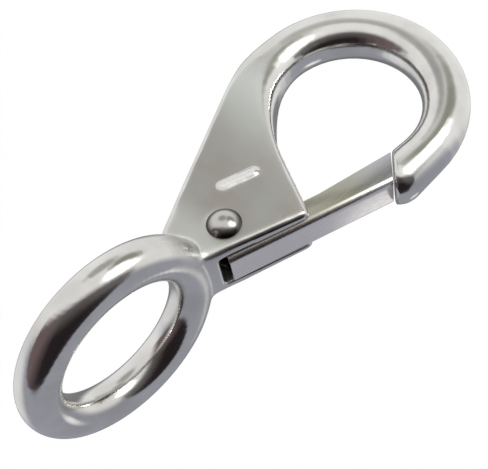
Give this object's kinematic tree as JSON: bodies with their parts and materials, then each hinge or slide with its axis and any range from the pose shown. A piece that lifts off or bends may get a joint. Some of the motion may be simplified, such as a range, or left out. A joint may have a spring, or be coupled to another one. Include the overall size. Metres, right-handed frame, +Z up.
{
  "type": "fixed-eye snap hook",
  "caption": "Cast snap hook with a fixed round eye set across it, a round-bar bowl, and a folded sheet gate that springs shut against the nose.",
  "frame": {"origin": "centre of the eye", "axes": "+Z up through the eye with the hook hanging below, -X towards the gate, -Y towards the face with the rivet's domed head"},
  "size_m": [0.0388, 0.0352, 0.0902],
  "materials": {
    "cast_steel": "cast stainless steel, tumbled and polished, satin on the flat faces",
    "sheet_steel": "rolled stainless sheet, lightly brushed",
    "rivet_steel": "polished stainless steel",
    "spring_steel": "drawn spring wire"
  },
  "bodies": {
    "hook": {"hook_body": "cast_steel", "gate_rivet": "rivet_steel"},
    "gate_arm": {"gate": "sheet_steel", "gate_spring": "spring_steel"}
  },
  "joints": [
    {"name": "gate_hinge", "type": "hinge", "parent": "hook", "child": "gate_arm", "pos_m": [-0.00045, 0, -0.0222], "axis": [0, -1, 0], "range_deg": [0, 30], "stiffness_Nm_per_rad": 0.028, "springref_deg": -85.94, "deforming": ["gate_spring"]}
  ]
}
